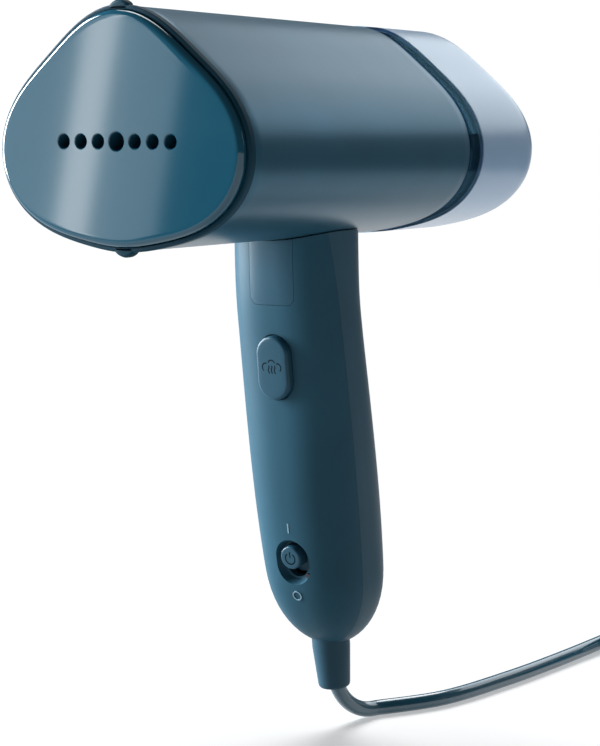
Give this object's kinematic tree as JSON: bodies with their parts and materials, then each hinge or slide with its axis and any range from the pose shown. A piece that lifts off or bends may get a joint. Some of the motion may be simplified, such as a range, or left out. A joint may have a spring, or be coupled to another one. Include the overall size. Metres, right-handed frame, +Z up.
{
  "type": "garment steamer",
  "caption": "Hand-held garment steamer: folding three-cornered steam head with a flat plate and steam holes, pull-off clear water tank, sprung steam trigger, slide switch and mains cord.",
  "frame": {"origin": "middle of the hand grip, on its centre line", "axes": "-Y towards the clothes, out of the steam plate; +Z up along the grip; +X to the side"},
  "size_m": [0.1664, 0.3435, 0.2606],
  "materials": {
    "shell_blue": "satin moulded plastic, metallic blue",
    "grip_blue": "fine matt moulded plastic",
    "grip_rear_blue": "fine matt moulded plastic, a little lighter",
    "rim_blue": "gloss moulded plastic",
    "plate_metal": "smooth coated aluminium, metallic blue",
    "button_blue": "satin moulded plastic",
    "collar_dark": "gloss dark plastic",
    "clear_blue": "clear light blue plastic",
    "cord_dark": "gloss dark blue sheath",
    "boot_dark": "satin dark rubber",
    "plug_dark": "moulded dark plastic",
    "pin_metal": "plated brass",
    "steel": "plain steel",
    "alu": "cast aluminium",
    "mark_pale": "printed mark",
    "lamp_red": "clear red lens",
    "inner_white": "plain moulded plastic",
    "inner_black": "plain moulded plastic",
    "seal_grey": "silicone rubber",
    "hose_clear": "silicone hose",
    "coil_brown": "taped copper winding"
  },
  "bodies": {
    "handle": {"handle_front_shell": "grip_blue", "handle_rear_shell": "grip_rear_blue", "handle_screws": "steel", "hinge_pin": "steel", "cord_boot": "boot_dark", "cord_clamp": "inner_white", "trigger_switch": "inner_black", "power_switch": "inner_black", "terminal_block": "inner_white", "pilot_lamp": "lamp_red", "on_mark": "mark_pale", "off_mark": "mark_pale", "power_cord": "cord_dark", "cord_coil": "cord_dark", "cord_tie": "inner_black", "cord_tail": "cord_dark", "plug_body": "plug_dark", "plug_pins": "pin_metal", "release_spring": "steel", "trigger_spring": "steel"},
    "release": {"release_button": "button_blue"},
    "trigger": {"steam_trigger": "button_blue"},
    "power": {"power_slider": "button_blue"},
    "head": {"bezel": "rim_blue", "plate_gasket": "seal_grey", "steam_plate": "plate_metal", "boiler_body": "alu", "boiler_cover": "alu", "heating_element": "steel", "thermostat": "inner_white", "thermal_fuse": "inner_white", "heat_shield": "inner_white", "plate_screws": "steel", "body_shell": "shell_blue", "chassis": "inner_white", "pump_body": "inner_white", "pump_coil": "coil_brown", "inlet_hose": "hose_clear", "outlet_hose": "hose_clear", "tank_dock": "collar_dark", "dock_seal": "seal_grey", "hinge_bracket": "steel"},
    "tank": {"water_tank": "clear_blue", "tank_valve": "inner_white", "suction_tube": "hose_clear"},
    "stopper": {"filler_stopper": "collar_dark"}
  },
  "joints": [
    {"name": "head_fold", "type": "hinge", "parent": "handle", "child": "head", "pos_m": [0, 0.0096, 0.062], "axis": [-1, 0, 0], "range_deg": [0, 80]},
    {"name": "tank_pull", "type": "slide", "parent": "head", "child": "tank", "axis": [0, 1, 0], "range_m": [0, 0.045]},
    {"name": "stopper_pull", "type": "slide", "parent": "tank", "child": "stopper", "axis": [0, 1, 0], "range_m": [0, 0.02]},
    {"name": "head_release", "type": "slide", "parent": "handle", "child": "release", "axis": [0, 1, 0], "range_m": [0, 0.002], "stiffness_N_per_m": 300, "springref_m": -0.002, "deforming": ["release_spring"]},
    {"name": "steam_trigger_press", "type": "slide", "parent": "handle", "child": "trigger", "axis": [0, 0.9959, 0.0906], "range_m": [0, 0.0025], "stiffness_N_per_m": 400, "springref_m": -0.002, "deforming": ["trigger_spring"]},
    {"name": "power_slide", "type": "slide", "parent": "handle", "child": "power", "axis": [0, 0.1812, -0.9834], "range_m": [0, 0.0038]}
  ]
}
